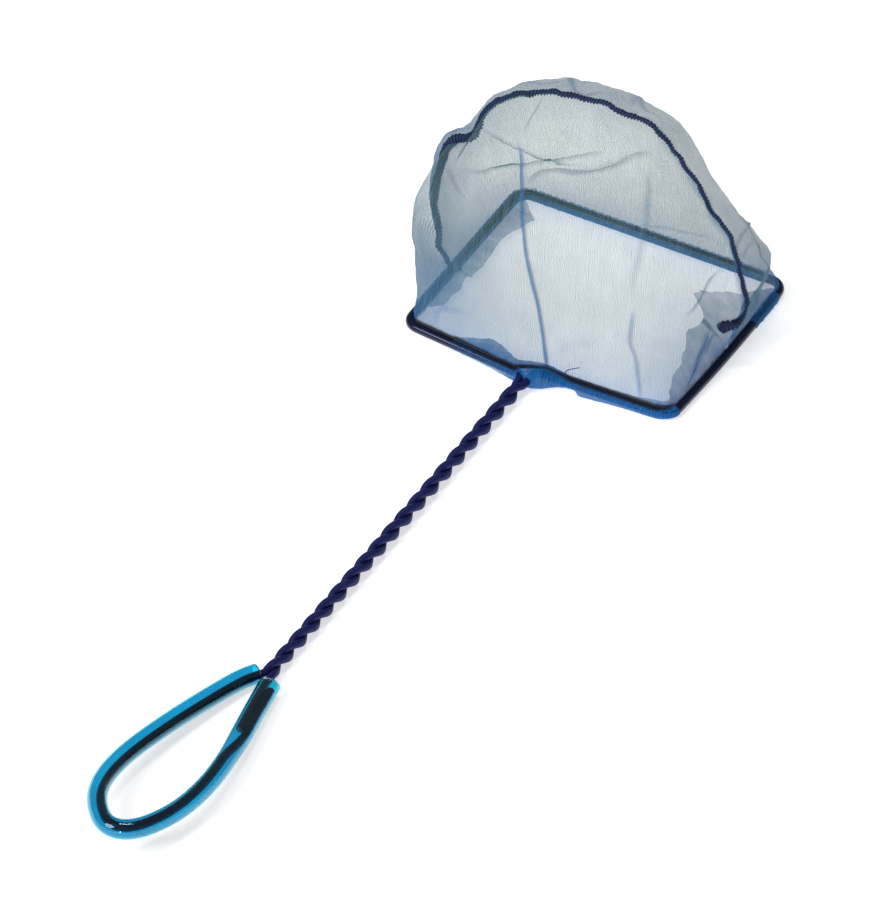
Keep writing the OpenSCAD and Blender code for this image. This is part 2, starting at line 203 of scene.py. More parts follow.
def rings_along(path, profile):
    """Profile points [sideways, upwards] carried square to a path, with up as near +Z as can be."""
    t = unit(np.gradient(path, axis=0))
    side = unit(np.cross(t, [0, 0, 1]))
    return swept(path, side, np.cross(side, t), profile)


def circle(radius, sides):
    """Profile of a round rod."""
    w = 2 * np.pi * np.arange(sides) / sides
    return radius * np.stack([np.cos(w), np.sin(w)], -1)


def rod(rings):
    """Points and faces of a closed rod: the skin through its rings, then a cap at each end."""
    rows, sides = rings.shape[:2]
    last = (rows - 1) * sides
    caps = [[*range(sides)], [*range(last, last + sides)][::-1]]
    return rings.reshape(-1, 3), [*grid_faces(rows, sides, wrap=True), *caps]


def rod_mesh(path, radius, sides, dome=0.0):
    """Points and faces of a rod along a path; dome rounds its ends over that length."""
    taper = np.ones(len(path))
    if dome:
        run = run_of(path)
        away = np.minimum(run, run[-1] - run) / dome
        taper = np.sqrt(np.clip(1 - (1 - np.clip(away, 0.02, 1)) ** 2, 0.02, 1))
    return rod(rings_along(path, (radius * taper)[:, None, None] * circle(1.0, sides)))


def joined(parts):
    """Several (points, faces) as one."""
    points, faces, base = [], [], 0
    for p, f in parts:
        points.append(p)
        faces += [[i + base for i in face] for face in f]
        base += len(p)
    return np.concatenate(points), faces


# %% [markdown]
# ## The wire's route
# One wire makes the mouth, the handle and the loop. It starts inside the tube's right arm, runs up
# the handle, round the mouth, down the handle again and round the loop, and ends beside its own
# start. The sizes are the solid model's, refined in three places as the photograph shows: the two
# strands of the twist touch, the coat is a little thicker on the mouth and in the tube, and the
# mouth's right side bows out.

# %% Sizes of the wire and the mouth
wire_r, mouth_wire_r = 1.4, 1.65
strand_r = 1.41
core_r = 1.0
half_w, half_d = 51.5, 40.5
corner_r, fork_r = 5.0, 4.0
dip_left, dip_right = 5.4, 1.0
shaft_x, frame_z, shaft_z = -1.0, 2.2, 3.3
half_turns = 19
bow_right, bow_from = 0.9, 40.0
climb_run = 7.0
mouth_from, mouth_fade = -50.0, 5.0


def near_y(x, dip):
    """Half of the near bar: a straight line that drops towards the handle by dip at mid width."""
    return -half_d - (half_w - x) * dip / half_w


def corner_arc(dip):
    """Bend between a side bar and one half of the near bar, on the +X side."""
    a = math.atan(dip / half_w)
    x = half_w - corner_r
    return arc([x, near_y(x, dip) + corner_r / math.cos(a)], corner_r, 0, math.degrees(a) - 90)


def fork_arc(dip, end_x):
    """Bend where one half of the near bar turns down the handle."""
    a = math.atan(dip / half_w)
    x = end_x + fork_r
    return arc([x, near_y(x, dip) - fork_r / math.cos(a)], fork_r, 90 + math.degrees(a), 180)


far_corner = arc([half_w - corner_r, half_d - corner_r], corner_r, 90, 0)
mirror = np.array([-1.0, 1.0])
right_half = np.concatenate([far_corner, corner_arc(dip_right), fork_arc(dip_right, shaft_x + strand_r)])
left_half = mirror * np.concatenate([
    far_corner, corner_arc(dip_left), fork_arc(dip_left, strand_r - shaft_x)])
fork_y = min(right_half[-1, 1], left_half[-1, 1]) - 1.0
neck_y = -225.8
print("twist from", round(fork_y, 1), "to", neck_y, "pitch", round(2 * (fork_y - neck_y) / half_turns, 1))


def bowed(points):
    """Points of the mouth with its right side bowed out: x + bow * cos(pi y / depth) beside that bar."""
    weight = np.clip((points[:, 0] - bow_from) / (half_w - bow_from), 0, 1) ** 2
    swing = bow_right * np.cos(np.pi * np.clip(points[:, 1] / (2 * half_d), -0.5, 0.5))
    return points + (weight * swing)[:, None] * np.eye(1, points.shape[1])


# %% Strands of the twist
turn_ease = 0.012


def eased(t, e=turn_ease):
    """Share of the turning done at the share t of the length; its speed ramps up and down at the ends."""
    end = 1 - e - (1 - t) ** 2 / (2 * e)
    return np.where(t < e, t * t / (2 * e), np.where(t > 1 - e, end, t - e / 2)) / (1 - e)


def strand(start, count=620):
    """Helix of one strand: it starts at the angle start and turns as it goes down the handle."""
    t = np.linspace(0, 1, count)
    w = np.radians(start + 180 * half_turns * eased(t))
    y = mix(fork_y, neck_y, t)
    return np.stack([shaft_x + strand_r * np.cos(w), y, shaft_z + strand_r * np.sin(w)], -1)


def with_height(plan):
    """A flat half of the mouth with its height, which climbs to the handle's height at the fork."""
    run = run_of(plan)
    z = mix(frame_z, shaft_z, smooth((run - run[-1] + climb_run) / climb_run))
    return np.column_stack([plan, z])


# %% Course of the loop
loop_nodes = np.array([
    [-1.41, 0], [-4.7, 6], [-6.6, 13], [-8.1, 20], [-9.5, 27], [-10.8, 34], [-12, 41], [-13, 48],
    [-13.9, 55], [-14.5, 62], [-14.7, 69], [-14.3, 76], [-13, 83], [-10.4, 89.5], [-6.2, 95.3],
    [-1.3, 100], [2.8, 101.5], [6.4, 100.2], [9.8, 96.2], [12.4, 90], [14.1, 84], [15.1, 77], [15.3, 70],
    [14.9, 62], [14, 55], [12.8, 48], [11.3, 41], [9.7, 34], [7.9, 27], [6.1, 20], [4.5, 13], [2.9, 6.5],
    [1.41, 0],
])
loop_swing, loop_tilt = 3.0, 4.0
grip_bore_r, grip_r = 3.0, 3.5
grip_hug, wire_hug, hug_run = 0.95, 0.38, 12.0
lap_from, lap_len, lap_fade = 7.0, 26.0, 18.0
loop_table = eased_path(resampled(loop_nodes, 0.5), 25)
loop_run = run_of(loop_table)[-1]
print("loop's course in mm:", round(loop_run, 1))


def beside_loop(s, off):
    """Points of the loop's own plane, across and along, off millimetres outside its course."""
    ahead, behind = (at_run(loop_table, np.clip(s + step, 0, loop_run)) for step in (0.5, -0.5))
    d = ahead - behind
    outward = unit(np.stack([-d[:, 1], d[:, 0]], -1))
    return at_run(loop_table, s) + np.reshape(off, (-1, 1)) * outward


def in_place(points):
    """From the loop's plane to the net: turned to the left, tilted up, and moved to the neck."""
    k, u = math.radians(loop_swing), math.radians(loop_tilt)
    along = np.array([-math.sin(k) * math.cos(u), -math.cos(k) * math.cos(u), math.sin(u)])
    across = np.array([math.cos(k), -math.sin(k), 0])
    neck = np.array([shaft_x, neck_y, shaft_z])
    return neck + points[:, :1] * across + points[:, 1:] * along


def lap_weight(s):
    """1 where the wire's two ends lie side by side in the right arm, fading to 0 past the lap."""
    return 1 - smooth((loop_run - s - lap_from - lap_len) / lap_fade)


main_s = np.linspace(0, loop_run - lap_from - 1, 320)
stub_s = np.linspace(loop_run - lap_from - lap_len, loop_run, 60)
hug = -wire_hug * smooth(main_s / hug_run) * (1 - lap_weight(main_s))
main_arm = in_place(beside_loop(main_s, hug + lap_weight(main_s) * (grip_hug + strand_r)))
stub_arm = in_place(beside_loop(stub_s, (grip_hug - strand_r) * smooth((loop_run - stub_s) / lap_from)))

# %% The whole route
wire_path = np.concatenate([
    stub_arm[:-1],
    strand(180)[::-1],
    with_height(left_half)[::-1],
    with_height(right_half),
    strand(0),
    main_arm[1:],
])
wire_path = bowed(eased_path(resampled(wire_path, 0.45), 7))
in_mouth = smooth((wire_path[:, 1] - mouth_from) / mouth_fade)
print("wire length in mm:", round(run_of(wire_path)[-1], 1))

# %% Coat and core
coat_sides, end_dome = 16, 0.25
past_neck = 4.0
loop_s = run_of(wire_path) - run_of(wire_path)[-1] + main_s[-1]
in_tube = smooth(loop_s / hug_run) * (1 - lap_weight(loop_s))
coat_r = mix(wire_r, mouth_wire_r, np.maximum(in_mouth, in_tube))
# 1 on the handle: there the coat is painted a lighter indigo as painted light, and is rougher and less
#                  glossy as from wear
handle_lit_and_worn = (wire_path[:, 1] > neck_y - past_neck) * (1 - in_mouth)
coat = add_piece(
    "coated_wire", *rod_mesh(wire_path, coat_r, coat_sides, end_dome), "navy_coat",
    values={"handle_lit_and_worn": np.repeat(handle_lit_and_worn, coat_sides)})
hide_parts("wire_coat")
core = add_piece("steel_core", *rod_mesh(wire_path, core_r, 10), "steel")
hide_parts("wire_core")

# %% [markdown]
# ## The grip tube
# The tube is soft clear vinyl, pushed over the loop. Its bore is about twice as wide as the wire,
# so the wire lies against its inner side, and the lap of the two wire ends stretches it flat.
# It is one skin: the outside, the cut at one end, the bore and the cut at the other end.

# %% Tube with a true bore
lap_outer = np.array([3.95, 3.15])
lap_bore = np.array([3.3, 2.5])
tube_start, tube_end = 2.6, 5.5
tube_s = np.linspace(tube_start, loop_run - tube_end, 220)
tube_path = eased_path(in_place(beside_loop(tube_s, np.full(len(tube_s), grip_hug))), 5)
tube_flat = lap_weight(tube_s)


def oval_rings(path, round_r, flat_pair, weight, sides=36):
    """Ellipses along a path, round where the weight is 0 and as wide and high as the pair where it is 1."""
    size = mix(round_r, flat_pair, weight[:, None])
    return rings_along(path, size[:, None] * circle(1.0, sides))


def pipe_mesh(outer, inner):
    """Points and faces of a pipe: the outer rings, then the inner rings backwards, closed to a loop."""
    skin = np.concatenate([outer, inner[::-1], outer[:1]])
    rows, sides = skin.shape[:2]
    return skin[:-1].reshape(-1, 3), grid_faces(rows, sides, wrap=True) % ((rows - 1) * sides)


grip = add_piece("grip_tube_skin", *pipe_mesh(
    oval_rings(tube_path, grip_r, lap_outer, tube_flat),
    oval_rings(tube_path, grip_bore_r, lap_bore, tube_flat),
), "blue_tube")
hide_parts("grip_tube")

# %% [markdown]
# ## The mesh bag
# The bag is two panels of fine knitted mesh, joined along the crown and hemmed round the wire. It
# could be draped by simulation, but a net this light keeps the swells and creases it was packed
# with, so each panel is drawn as one surface. u runs round the mouth from one foot of the crown
# seam to the other. v climbs from the mouth to the seam, and the hem goes on below it.

# %% Crown seam route
crown_points = np.array([
    [-51.5, -8, 4.9], [-54.9, -7, 6.7], [-58.2, -5.5, 9.2], [-59.2, -3, 13.5], [-61.6, -1, 18.1],
    [-62.8, 0, 25], [-61.4, 0, 35.2], [-58.8, 0, 45.8], [-55.6, 0, 52.6], [-50.5, 0, 55.6],
    [-46.6, 0, 59.6], [-44.2, 0, 67], [-40, 0, 74], [-33, 0, 80.6], [-23.6, 0, 85.9],
    [-13.9, 0, 89.4], [-4.2, 0, 90.6], [4, 0, 91.8], [11.3, 0, 90.2], [19.9, 0, 90.4],
    [26.9, 0, 85.2], [34.6, 0, 76.8], [41.2, 0, 68.2], [45.1, 0, 60.8], [51.6, 0, 54.2],
    [54.2, 0, 46.5], [56.2, 0, 37.5], [58.6, 0, 27.5], [56.6, 0, 18], [53.4, 0, 11], [51.5, 0, 4.9],
])
crown_table = through(crown_points, np.linspace(0, 1, 1200))
crown_length = run_of(crown_table)[-1]
print("crown seam in mm:", round(crown_length, 1))


def crown(t):
    """Point of the crown seam at the share t of its length, from the left foot to the right one."""
    return at_run(crown_table, np.asarray(t) * crown_length)


# %% Rims of the two panels
fork_left_x = shaft_x - strand_r - fork_r
fork_right_x = shaft_x + strand_r + fork_r
feet = [[-half_w, crown_points[0, 1]]], [[half_w, crown_points[-1, 1]]]
front_rim = np.concatenate([
    feet[0],
    mirror * corner_arc(dip_left),
    [[fork_left_x, near_y(-fork_left_x, dip_left)], [fork_right_x, near_y(fork_right_x, dip_right)]],
    corner_arc(dip_right)[::-1],
    feet[1],
])
back_rim = np.concatenate([feet[0], (mirror * far_corner)[::-1], far_corner, feet[1]])
print("rims in mm:", round(run_of(front_rim)[-1], 1), round(run_of(back_rim)[-1], 1))

# %% [markdown]
# A swell table says how far the cloth stands off the straight surface between rim and seam. Its
# rows climb with v in fifths and its columns run with u in twelfths. "out" is away from the middle
# of the mouth, and "up" is away from the middle of the bag as seen from the front. "folds" isn't a
# swell: it says how many more tenths of a layer the eye meets, where the cloth lies in fine folds.

# %% Swell tables, in mm
still = [0] * 13
layer_step = 0.1
front_swell = {
    "out": [
        still,
        [0, 2, 1, 1, 3, 4, 4, 4, 3, 1, -2, -2, 0],
        [0, 4, 3.6, 3, 4, 6, 6, 6, 5, 2, -3, -4, 0],
        [0, 5.6, 6.2, 5, 5, 7, 7, 7, 6, 3, -3, -4, 0],
        [0, 5, 6.8, 6, 5, 6, 6, 6, 5, 3, -1, -2, 0],
        still,
    ],
    "up": [
        still,
        still,
        [0, 0, 0, 1, 1, 1, 1, 1, 1, 1, 0, 0, 0],
        [0, 0, 0, 0.5, 2, 2, 2, 2, 2, 1, 0, 0, 0],
        [0, 0, 0, 1, 3, 2, 2, 2, 2, 1, 0, 0, 0],
        still,
    ],
    "folds": [
        [11, 11, 10, 9, 6, 4, 3, 3, 4, 5, 6, 7, 9],
        [13, 12, 11, 12, 10, 5, 2, 2, 4, 9, 10, 10, 10],
        [14, 13, 11, 9, 6, 2, 0, 0, 2, 7, 9, 8, 8],
        [12, 11, 8, 4, 2, 0, -1, 0, 1, 3, 4, 4, 6],
        [9, 8, 6, 2, 1, 0, 0, 0, 1, 1, 1, 2, 4],
        [2, -2, -3, -1, 1, 0, 1, 1, 1, 1, 0, 1, 2],
    ],
}
back_swell = {
    "out": [
        still,
        [0, 1, 3, 4, 6, 6, 6, 5, 4, 2, -2, -3, 0],
        [0, 1, 3, 5, 8, 9, 9, 8, 7, 5, 0, -2, 0],
        [0, 3, 5, 6, 9, 10, 10, 8, 6, 6, 4, 1, 0],
        [0, 3, 4, 5, 7, 8, 8, 7, 4.5, 4, 4, 1, 0],
        still,
    ],
    "up": [
        still,
        still,
        [0, 0, 0, 1, 1, 1, 1, 1, 1, 1, 1, 0, 0],
        [0, 1, 4, 5, 4, 5, 5, 5, 3, 2, 2, 1, 0],
        [0, 2, 5, 6, 6, 9, 11.5, 10, 4.5, 0, 0, 0.5, 0],
        still,
    ],
    "folds": [
        [10, 9, 8, 6, 4, 3, 3, 3, 4, 6, 8, 10, 12],
        [11, 10, 6, 2, 0, -1, -1, 0, 2, 6, 12, 14, 12],
        [11, 10, 5, 1, -1, -2, -2, 0, 2, 6, 12, 14, 11],
        [15, 16, 12, 7, 2, 0, 1, 1, 1, 4, 9, 10, 9],
        [15, 17, 16, 11, 7, 6, 6, 5, 5, 6, 7, 7, 7],
        [14, 15, 14, 9, 8, 8, 8, 7, 6, 5, 5, 5, 6],
    ],
}


def table(rows, u, v):
    """Smooth surface through a table: a spline along each row at u, then a spline across them at v."""
    along = through(np.asarray(rows, float).T, u)
    return np.moveaxis(through(along.T, v), 0, 1)


# %% [markdown]
# The hem is a casing that the wire is threaded through. It goes down the outer side of the wire,
# under it and back inside, where its raw edge stands free. At two corners and along one side the
# wire is bare and the cloth keeps to its inner side. These curves say so as stops, (u in
# thousandths, value), and the first and the last value hold beyond them. "foot" is where the body
# leaves the wire, and "slack" and "cover" are how loose the casing is below and above. "turn",
# "lean" and "flap" are the angle, the lean and the height of the raw edge. "close", "dense",
# "root", "seam" and "strip" are the layers of the casing, the raw edge, the body's foot, the strip
# at the seam and the strip above the hem. "tone" is how blue that last strip looks, and "shade"
# is painted shade: how near black its foot is painted where it meets the wire.

# %% Hem curves
wrap_r, casing_end = 1.84, math.radians(-220)
front_hem = {
    "bare": [(130, 0), (131, 1), (289, 1), (290, 0), (790, 0), (791, 1)],
    "foot": [(80, 0), (140, 0.8), (200, 0.55), (270, 0.4), (340, 0.1), (400, 0), (740, 0), (800, 0.8)],
    "slack": [(330, 0), (380, 0.2), (420, 0.8), (460, 2), (475, 2.2), (500, 1.3), (525, 0.7), (550, 0.1),
        (570, 0.1), (582, 1.8), (600, 1.8), (620, 1.5), (646, 0.8), (680, 0.5), (740, 0.3), (760, 0)],
    "cover": [(440, 0), (465, 3.6), (500, 5.4), (515, 4.4), (535, 1.6), (560, 0)],
    "turn": [(0, -12), (130, -5), (290, 30), (340, 50), (500, 55), (540, 75), (760, 85), (800, 75)],
    "flap": [(0, 4.4), (50, 5.4), (110, 4.9), (130, 1.5), (290, 1), (310, 2), (345, 4), (367, 5), (400, 3.8),
        (424, 2.6), (450, 2.4), (469, 2.4), (514, 1.6), (548, 0.7), (605, 0.6), (680, 1), (720, 2), (780, 3),
        (800, 4.6), (838, 6.3), (885, 8), (942, 11.4), (1000, 11)],
    "lean": [(300, 0), (340, 0.25), (460, 0.3), (500, 0), (780, 0), (820, 0.45), (1000, 0.35)],
    "close": [(0, 3.6), (120, 3), (130, 0.6), (290, -0.4), (340, 0.4), (420, 1.2), (480, 3.2), (540, 3),
        (580, 1.9), (720, 2.1), (780, 4.2), (790, 2), (1000, 1.5)],
    "dense": [(0, 2.2), (290, 2), (340, 4.6), (500, 5), (560, 3.2), (700, 2.2), (790, 2.2), (850, 1.5),
        (1000, 1.4)],
    "root": [(120, 0.5), (200, 5), (780, 5), (800, 1.5), (1000, 1)],
    "shade": [(160, 0), (200, 1.6), (450, 1.2), (500, 0.8), (570, 1.2), (770, 1.2), (800, 0)],
    "seam": [(0, 0.2), (100, 0.1), (170, 0.3), (220, 1.8), (280, 0.8), (400, 0.2), (600, 0.2), (700, 1.6),
        (900, 2.2), (1000, 2)],
    "strip": [(0, 0.3), (200, 0.1), (300, 0.2), (500, 0.3), (720, 0.2), (800, 0.5), (900, 0.4), (1000, 0.8)],
    "tone": [(0, 0.7), (200, 0.5), (300, 0.8), (450, 1), (800, 1), (900, 0.9), (1000, 1)],
}
back_hem = {
    "bare": [(750, 0), (751, 1), (820, 1), (821, 0), (914, 0), (915, 1)],
    "foot": [(890, 0), (940, 0.8)],
    "slack": [(0, 0), (50, 0.4), (700, 0.5), (750, 0), (820, 0), (860, 0.2), (910, 0)],
    "cover": [(1000, 0)],
    "turn": [(220, -12), (260, 30), (740, 30), (820, 60), (900, 75)],
    "flap": [(0, 5.4), (40, 5.9), (120, 4.9), (160, 6.4), (200, 8.4), (235, 3), (260, 1), (350, 0.8),
        (600, 0.9), (720, 0.8), (760, 0.8), (820, 1.6), (853, 4.5), (892, 7.9), (920, 12), (945, 16),
        (962, 15.8), (975, 12.4), (990, 11.4), (1000, 11)],
    "lean": [(800, 0), (860, 0.35), (1000, 0.3)],
    "close": [(0, 4.4), (250, 4.8), (300, 5.2), (700, 5.2), (800, 4.6), (860, 5), (900, 5), (914, 4),
        (1000, 2.5)],
    "dense": [(0, 2.2), (220, 2.1), (270, 1.2), (750, 1), (850, 2), (920, 1.6), (1000, 1.5)],
    "root": [(1000, 0.5)],
    "shade": [(1000, 0)],
    "seam": [(0, 1.4), (100, 1.8), (200, 2.2), (300, 1), (600, 0.8), (900, 0.8), (1000, 1.2)],
    "strip": [(0, 0.3), (60, 0.2), (700, 0.1), (780, 0.5), (850, 0.6), (920, 0.2), (1000, 0.6)],
    "tone": [(0, 0.8), (200, 0.9), (800, 0.9), (840, 0.8), (910, 0.8), (940, 1)],
}


def hem_value(stops, u):
    """The value of a hem curve at u: straight pieces between its stops."""
    at_u, values = np.array(stops, float).T
    return np.interp(u, at_u / 1000, values)


def rim_frame(rim, u, side):
    """Wire centres at the shares u of a rim, and the directions that point out of the mouth there."""
    length = run_of(rim)[-1]
    s, e = u * length, 1.5
    along = unit(at_run(rim, np.clip(s + e, 0, length)) - at_run(rim, np.clip(s - e, 0, length)))
    out = side * np.stack([-along[:, 1], along[:, 0], np.zeros(len(u))], -1)
    return np.column_stack([bowed(at_run(rim, s)), np.full(len(u), frame_z)]), out


# %% Small waves of the cloth
def ripple(a, b, count, shortest, longest, seed):
    """Sum of count sine waves in a and b, of random direction, phase and wavelength; about -1 to 1."""
    rng = np.random.default_rng(seed)
    angle = rng.uniform(0, 2 * np.pi, count)
    wave = 2 * np.pi / rng.uniform(shortest, longest, count)
    phase = rng.uniform(0, 2 * np.pi, count)
    total = np.zeros(np.shape(a))
    for k in range(count):
        total = total + np.sin(wave[k] * (np.cos(angle[k]) * a + np.sin(angle[k]) * b) + phase[k])
    return total / math.sqrt(count)


# height, how much faster it changes up than across, number of waves, the shortest and the longest
# of them in mm, and what is added to the panel's seed
cloth_waves = {
    "ragged": (0.03, 1, 6, 6, 22, 0), "frayed": (0.012, 1, 6, 1.2, 3, 7), "curl": (0.22, 2, 10, 4, 12, 1),
    "gathers": (0.1, 2, 9, 1.6, 5, 5), "dents": (0.3, 1, 26, 7, 22, 2), "floor": (0.1, 1, 6, 3, 9, 0),
    "crinkles": (0.09, 0.6, 26, 2.2, 5, 3), "pleats": (0.3, 0.12, 12, 3, 8, 4),
    "patches": (0.25, 0.3, 8, 2, 7, 6),
}


def cloth_wave(name, seed, across, up):
    """Height of one kind of small wave of the cloth, at a place across it and up it."""
    height, faster, *waves, extra = cloth_waves[name]
    return height * ripple(across, faster * up, *waves, seed + extra)


# %% [markdown]
# Creases are lines on the cloth. Each has the height that the cloth stands off there, its half
# width in mm, the extra layers that the eye sees where the cloth doubles, the length in mm over
# which its ends fade, and its stops as (u, v) in thousandths.

# %% Creases
front_creases = [
    (1.1, 0.55, 4, 5, [(420, 818), (430, 770), (436, 685), (441, 615), (445, 545), (451, 475), (459, 405),
        (468, 335), (479, 268), (486, 212), (494, 133), (505, 0)]),
    (0.5, 0.45, 1.3, 4, [(432, 985), (429, 948), (424, 912), (419, 870)]),
    (0.9, 1.3, 0.6, 20, [(615, 865), (621, 777), (626, 652), (628, 550), (629, 460), (644, 378)]),
    (1, 0.8, 1.4, 6, [(644, 378), (649, 300), (656, 240), (675, 190), (688, 130), (700, 70), (710, 10)]),
    (-0.8, 0.7, 1.5, 8, [(795, 818), (779, 723), (769, 585), (745, 475)]),
    (0.25, 1.2, 0.4, 8, [(90, 60), (75, 300), (70, 600), (75, 900)]),
    (0.3, 1.4, 0.4, 10, [(150, 30), (160, 200), (130, 450), (115, 700), (120, 950)]),
    (0.4, 1.2, 0.6, 8, [(235, 20), (250, 120), (290, 140), (330, 150)]),
    (-0.9, 1, 1.2, 6, [(860, 50), (875, 200), (900, 400), (930, 600)]),
    (1, 0.9, 1.2, 6, [(830, 20), (840, 120), (855, 300), (870, 500)]),
    (0.5, 2, 0.25, 8, [(510, 30), (530, 100), (560, 160), (600, 200)]),
]
back_creases = [
    (1.2, 0.8, 1, 14, [(190, 515), (228, 312), (292, 240), (371, 297), (409, 338), (459, 405)]),
    (-1, 0.7, 1.1, 10, [(278, 642), (288, 522), (300, 455), (324, 355), (351, 288), (410, 280)]),
    (1.3, 1, 1, 14, [(254, 52), (280, 100), (305, 160), (350, 212), (396, 235), (448, 288), (497, 405),
        (542, 505)]),
    (-1, 1.5, 0.6, 12, [(330, 200), (390, 223), (439, 292), (470, 350), (499, 430)]),
    (0.8, 0.8, 1, 8, [(181, 613), (166, 537), (151, 470), (144, 398)]),
    (0.7, 1, 0.7, 10, [(526, 357), (517, 235), (512, 143), (509, 55)]),
    (0.6, 0.8, 0.8, 10, [(494, 28), (544, 52), (594, 80), (645, 128)]),
    (0.9, 0.7, 1, 8, [(690, 90), (703, 283), (720, 450), (735, 600)]),
    (-0.8, 0.6, 0.9, 5, [(710, 75), (723, 245), (735, 315)]),
    (0.5, 1.3, 1.6, 10, [(700, 680), (711, 542), (740, 400), (770, 250), (790, 100)]),
    (0.1, 0.9, 1.2, 6, [(449, 748), (471, 930), (484, 970), (497, 945), (512, 910)]),
    (0.4, 1, 0.9, 8, [(360, 800), (400, 860), (430, 900), (460, 850)]),
    (0.35, 0.9, 1, 8, [(520, 700), (551, 850), (568, 900), (600, 930)]),
    (0.3, 1, 1, 8, [(220, 600), (235, 750), (250, 850), (270, 950)]),
]


def near_line(points, line, half, fade):
    """Bell 1 on a line of stops to 0 beside it, exp(-(d / half)^2), fading at both of its ends."""
    start, step = line[:-1], np.diff(line, axis=0)
    length = np.maximum(np.linalg.norm(step, axis=1), 1e-9)
    run = np.concatenate([[0], np.cumsum(length)])
    best = np.full(points.shape[:-1], 1e9)
    along = np.zeros(points.shape[:-1])
    for k in range(len(start)):
        share = np.clip(((points - start[k]) @ step[k]) / length[k] ** 2, 0, 1)
        d = np.linalg.norm(points - start[k] - share[..., None] * step[k], axis=-1)
        along = np.where(d < best, run[k] + share * length[k], along)
        best = np.minimum(d, best)
    ends = smooth(np.minimum(along, run[-1] - along) / fade + 0.15)
    return np.exp(-((best / half) ** 2)) * ends


# %% One panel, from its raw hem edge to the crown
flap_rows, wrap_rows, cloth_rows, cloth_columns = 14, 12, 172, 420
cloth_scale, cloth_margin = 200.0, [4, 30]
foot_gap, floor_gap = 0.0015, 0.15
rim_mm = 180.0
slack_at, slack_sharp = math.radians(-40), 1.5
cover_at, cover_sharp = math.radians(25), 2
flap_spread, spread_part = 0.16, 0.1
curl_run, droop = 3, 0.03
edge_share, edge_extra = 0.5, 0.3
bag_middle = 40.0
seam_strip, seam_strip_share = 4.2, 0.2
foot_line, foot_blur = 1.2, 1.6
rim_edge, crown_edge = 0.05, 0.03
pleat_reach = 9


